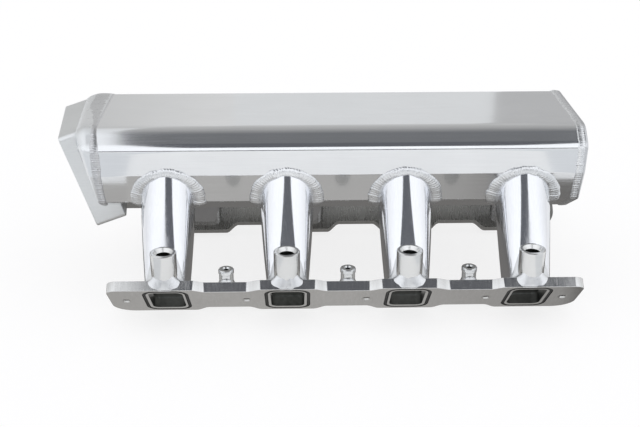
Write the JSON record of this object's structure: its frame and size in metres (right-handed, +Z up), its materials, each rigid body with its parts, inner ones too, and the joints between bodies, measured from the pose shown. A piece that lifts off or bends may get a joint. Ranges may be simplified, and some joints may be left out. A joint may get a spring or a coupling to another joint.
{
  "type": "intake manifold",
  "caption": "Welded sheet-metal intake manifold for a V8: a faceted plenum over tapered round-to-rectangular runners on scalloped head flanges, with a tilted throttle flange.",
  "frame": {"origin": "bottom centre of the whole manifold, level with the lowest edges of the two head flanges", "axes": "+X along the engine from the throttle end to the closed end, +Y across the valley to the rear bank in view, +Z up"},
  "size_m": [0.5182, 0.264, 0.1746],
  "materials": {
    "plenum_sheet": "brushed and polished sheet",
    "polished_tube": "mirror polished",
    "machined_flange": "machined, bright edges",
    "machined_block": "satin, machined",
    "turned_bung": "turned",
    "turned_post": "turned",
    "seal_rubber": "matte moulded rubber"
  },
  "bodies": {
    "root": {"plenum_upper": "plenum_sheet", "plenum_floor": "plenum_sheet", "front_end_plate": "plenum_sheet", "rear_end_cap": "plenum_sheet", "throttle_flange": "machined_block", "head_flange_front": "machined_flange", "head_flange_rear": "machined_flange", "port_seals_front": "seal_rubber", "port_seals_rear": "seal_rubber", "runner_1": "polished_tube", "runner_2": "polished_tube", "runner_3": "polished_tube", "runner_4": "polished_tube", "runner_5": "polished_tube", "runner_6": "polished_tube", "runner_7": "polished_tube", "runner_8": "polished_tube", "injector_bung_1": "turned_bung", "injector_bung_2": "turned_bung", "injector_bung_3": "turned_bung", "injector_bung_4": "turned_bung", "injector_bung_5": "turned_bung", "injector_bung_6": "turned_bung", "injector_bung_7": "turned_bung", "injector_bung_8": "turned_bung", "rail_post_1": "turned_post", "rail_post_2": "turned_post", "rail_post_3": "turned_post", "rail_post_4": "turned_post", "rail_post_5": "turned_post", "rail_post_6": "turned_post"}
  },
  "joints": []
}
